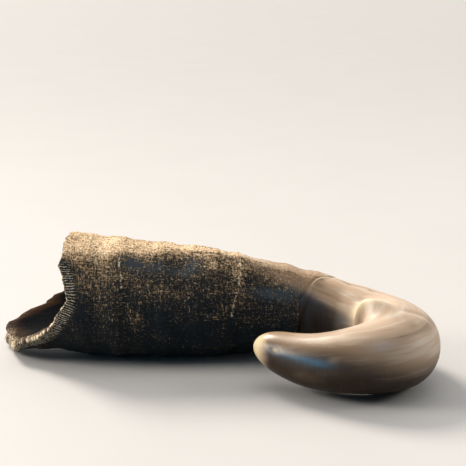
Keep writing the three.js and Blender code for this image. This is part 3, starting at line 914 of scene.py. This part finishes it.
# %% Coats of colour, from the lowest to the uppermost
COATS = [
    # sound keratin: brown in clouds, and painted bluish where it has a thin polish, a painted
    # reflection of the cool panels
    (pattern["clouds"], 0.4, 0.62, 1.0, "#140f0a"),
    (share["sound_and_sheen"], 0.1, 0.9, 0.8, "#2c3843"),
    # flakes: brown dust between them, darker edges, and palest where they stand highest
    (pattern["grit"], 0.5, 0.7, share["dust_and_painted_light"], "#3a2d1d"),
    (lifted, 0.84, 0.93, 1.0, "#63553f"),
    (lifted, 0.94, 1.0, 1.0, "#bb9d76"),
    (lifted, 1.03, 1.12, 1.0, "#ead3b2"),
    # the comb beside the rim: dark gaps and pale threads
    (share["comb"], 0.1, 0.8, 0.75, "#15120f"),
    (teeth, 0.5, 1.1, 1.0, "#cfc3ac"),
    # rubbed horn past the last ring: dark brown, with faint growth lines; where the pale coat is
    # kept off the underside this dark stays as painted shade
    (share["past"], -3.0, 0.4, 1.0, "#2e2217"),
    (pattern["rings"], 0.5, 1.4, share["polish"], "#6a5847"),
    # pale horn, sooner and fuller on the top as painted light and kept off the underside as
    # painted shade, with long light and dark streaks
    (share["pale_and_painted_light"], 0.0, 1.0, 1.0, "#a6917b"),
    (pattern["streaks"], 0.47, 0.7, share["pale_and_painted_light"], "#b9ad9e"),
    (pattern["streaks"], 0.44, 0.22, share["pale_and_painted_light"], "#806b54"),
    # before the ring: dark gaps between the flakes that are left on the pale horn
    (lifted, 1.02, 0.93, speckled, "#4a3826"),
    # warmer before the ring and on the tip, following the pale coat onto the lit top, soft smears,
    # and cream patches, of which those round the knob are a painted highlight and the tip's end
    # partly one
    (share["warm"], 0.0, 1.0, 0.5, "#96703f"),
    (pattern["smears"], 0.5, 1.1, share["polish"], "#5a4a3a"),
    (share["stain_and_highlight"], 0.1, 0.9, 0.9, "#d3c3a0"),
    # lines: the ring, with a painted shadow below its step and a painted highlight along it on
    # top, dark cracks and the painted shade of the groove, and chips along the ledges
    (from_ring, 1.0, 0.2, share["ring_shadow"], "#0f0b08"),
    (from_ring, 0.9, 0.2, share["ring_highlight"], "#dccbab"),
    (crack_and_groove_shade, 0.1, -0.4, 0.8, "#1a130c"),
    (scar, -1.35, -1.9, 0.9, "#e2d2b2"),
    # the hollow, where the bony core sat: painted near black as painted shade, and browner along
    # its threads and near the rim
    (share["inside"], 0.3, 0.7, 1.0, "#070504"),
    (pattern["threads"], 0.58, 0.9, share["inside"], "#2a1c10"),
    (share["near_edge"], 0.1, 1.0, 0.85, "#4a3018"),
    # torn fibres of the edge, with pale ends, partly a painted highlight of the lit broken edge
    (share["torn_and_edge_light"], 0.2, 0.8, 1.0, "#4a3826"),
    (pattern["grit"], 0.42, 0.62, share["torn_and_edge_light"], "#ead8b8"),
]
colour = linear("#070605")
for measure, low, high, kept, paint in COATS:
    inputs = {"Value": measure, "From Min": low, "From Max": high, "To Max": kept}
    cover = add(tree, "MapRange", inputs, interpolation_type="SMOOTHSTEP")
    inputs = {0: cover, 6: colour, 7: linear(paint)}
    colour = add(tree, "Mix", inputs, out=2, data_type="RGBA")
print(len(COATS), "coats of colour over", len(pattern), "patterns")

# %% Relief too fine for the mesh: the pattern, where it stands, and its depth in millimetres
RELIEFS = [
    (lifted, rough, 1.8), (pattern["grit"], rough, 0.8),
    (pattern["comb_lines"], share["comb"], 0.7), (pattern["threads"], share["inside"], 0.8),
    (pattern["crumbs"], share["torn_and_edge_light"], 1.5),
]
height = 0.0
for measure, where, depth in RELIEFS:
    stands = add(tree, "Math", {0: measure, 1: where}, operation="MULTIPLY")
    height = add(tree, "Math", {0: stands, 1: depth, 2: height}, operation="MULTIPLY_ADD")
bump = add(tree, "Bump", {"Height": height, "Distance": MM, "Strength": 1.0})
print("reliefs drawn on top of the mesh:", len(RELIEFS))

# %% Gloss: dry skin scatters at 0.82, the bend at 0.47, the rubbed tip at 0.32
KERATIN_IOR = 1.54
KERATIN_MIRROR = 0.18  # below the usual 0.5, because dry, fibrous keratin mirrors little
UNEVEN = 0.2  # the smears change the gloss by half of this, up or down
dryness = add(tree, "Attribute", out="Fac", attribute_name="dryness")
uneven = {0: pattern["smears"], 1: UNEVEN, 2: -UNEVEN / 2}
uneven = add(tree, "Math", uneven, operation="MULTIPLY_ADD")
gloss = add(tree, "Math", {0: dryness, 1: uneven})
inputs = {
    "Base Color": colour, "Roughness": gloss, "Normal": bump,
    "IOR": KERATIN_IOR, "Specular IOR Level": KERATIN_MIRROR,
}
shader = add(tree, "BsdfPrincipled", inputs)
add(tree, "OutputMaterial", {"Surface": shader})
mesh.materials.append(horn)
print(horn.name, "has", len(tree.nodes), "nodes")

# %% [markdown]
# ## Table and light
# The horn lies on a plain pale table. A bright window stands behind it and to the left, a
# weaker one on the right draws a soft shine on the bend, and the room in front is dim. So the
# top and the bend shine, and the front stays dark. Two cool panels in front are seen only as
# reflections, where the horn is smooth. A picture of a room could light it as well, but each
# of these few lamps can be turned by hand.

# %% Table
TABLE_HALF = 8.0  # metres
TABLE_DRYNESS = 0.8
table_mesh = bpy.data.meshes.new("table")
corners = [(-TABLE_HALF, -TABLE_HALF, 0), (TABLE_HALF, -TABLE_HALF, 0)]
corners += [(TABLE_HALF, TABLE_HALF, 0), (-TABLE_HALF, TABLE_HALF, 0)]
table_mesh.from_pydata(corners, [], [(0, 1, 2, 3)])
table = bpy.data.objects.new("table", table_mesh)
bpy.context.scene.collection.objects.link(table)
lacquer = bpy.data.materials.new("table_painted_matt")
lacquer.use_nodes = True
tree = lacquer.node_tree
tree.nodes.clear()
spot = add(tree, "TexCoord", out="Object")
mottle = add(tree, "TexNoise", {"Vector": spot, "Scale": 9.0, "Detail": 4.0})
inputs = {0: mottle, 6: linear("#a2a1a0"), 7: linear("#a7a6a5")}
paint = add(tree, "Mix", inputs, out=2, data_type="RGBA")
shader = add(tree, "BsdfPrincipled", {"Base Color": paint, "Roughness": TABLE_DRYNESS})
add(tree, "OutputMaterial", {"Surface": shader})
table_mesh.materials.append(lacquer)
print("table", 2 * TABLE_HALF, "metres wide,", lacquer.name)

# %% World: bright behind and above, dim in front
WINDOW_WAY = (-0.15, 0.8, 0.6)
WORLD_STRENGTH = 1.5
world = bpy.data.worlds.new("window_light")
bpy.context.scene.world = world
world.use_nodes = True
tree = world.node_tree
tree.nodes.clear()
direction = add(tree, "TexCoord", out="Generated")
inputs = {0: direction, 1: WINDOW_WAY}
facing = add(tree, "VectorMath", inputs, out="Value", operation="DOT_PRODUCT")
inputs = {"Value": facing, "From Min": -0.1, "From Max": 0.8}
behind = add(tree, "MapRange", inputs, interpolation_type="SMOOTHSTEP")
inputs = {0: behind, 6: linear("#2c2a27"), 7: linear("#fffdfa")}
glow = add(tree, "Mix", inputs, out=2, data_type="RGBA")
sky = add(tree, "Background", {"Color": glow, "Strength": WORLD_STRENGTH})
add(tree, "OutputWorld", {"Surface": sky})
print("the world is brightest towards", WINDOW_WAY)

# %% Lamps
LAMP_DISTANCE = 1.5  # metres
LAMP_AIM = Vector((0.0, 0.0, 0.05))  # the horn's middle
SUN_WIDTH = np.radians(20)  # wide, for soft shadows


def add_lamp(name, kind, towards, energy, colour, roll=0.0, **settings):
    """A lamp that stands off from the horn in the given direction, faces it, and is turned
    about that direction by the roll in degrees."""
    lamp = bpy.data.lights.new(name, kind)
    lamp.energy = energy
    lamp.color = linear(colour)[:3]
    for key, value in settings.items():
        setattr(lamp, key, value)
    holder = bpy.data.objects.new(name, lamp)
    bpy.context.scene.collection.objects.link(holder)
    way = Vector(towards).normalized()
    holder.location = LAMP_AIM + LAMP_DISTANCE * way
    holder.rotation_euler = way.to_track_quat("Z", "Y").to_euler()
    holder.rotation_euler.rotate_axis("Z", np.radians(roll))
    return holder


add_lamp("window_sun", "SUN", (-0.45, 0.66, 0.6), 4.6, "#fff4e8", angle=SUN_WIDTH)
add_lamp("side_window", "AREA", (-1.0, -0.05, 0.45), 21.0, "#fff6ec", size=0.5)
add_lamp("right_window", "AREA", (1.0, 0.1, 0.45), 8.0, "#fff6ec", size=0.5)
band = {"shape": "RECTANGLE", "size": 1.3, "size_y": 0.15}
cool_panels = [
    add_lamp("cool_panel_high", "AREA", (0.4, -0.55, 0.72), 15.0, "#7cc4f0", size=0.3),
    add_lamp("cool_band_low", "AREA", (-0.8, -0.55, 0.17), 26.0, "#6fc4ee", roll=-30, **band),
]
for panel in cool_panels:
    panel.visible_diffuse = False
bpy.context.scene.view_settings.view_transform = "Standard"
print("lamps:", [lamp.name for lamp in bpy.data.lights])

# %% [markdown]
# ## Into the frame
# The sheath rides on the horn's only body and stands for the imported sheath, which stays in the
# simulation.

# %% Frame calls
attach(sheath, "root")
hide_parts("horn_sheath")
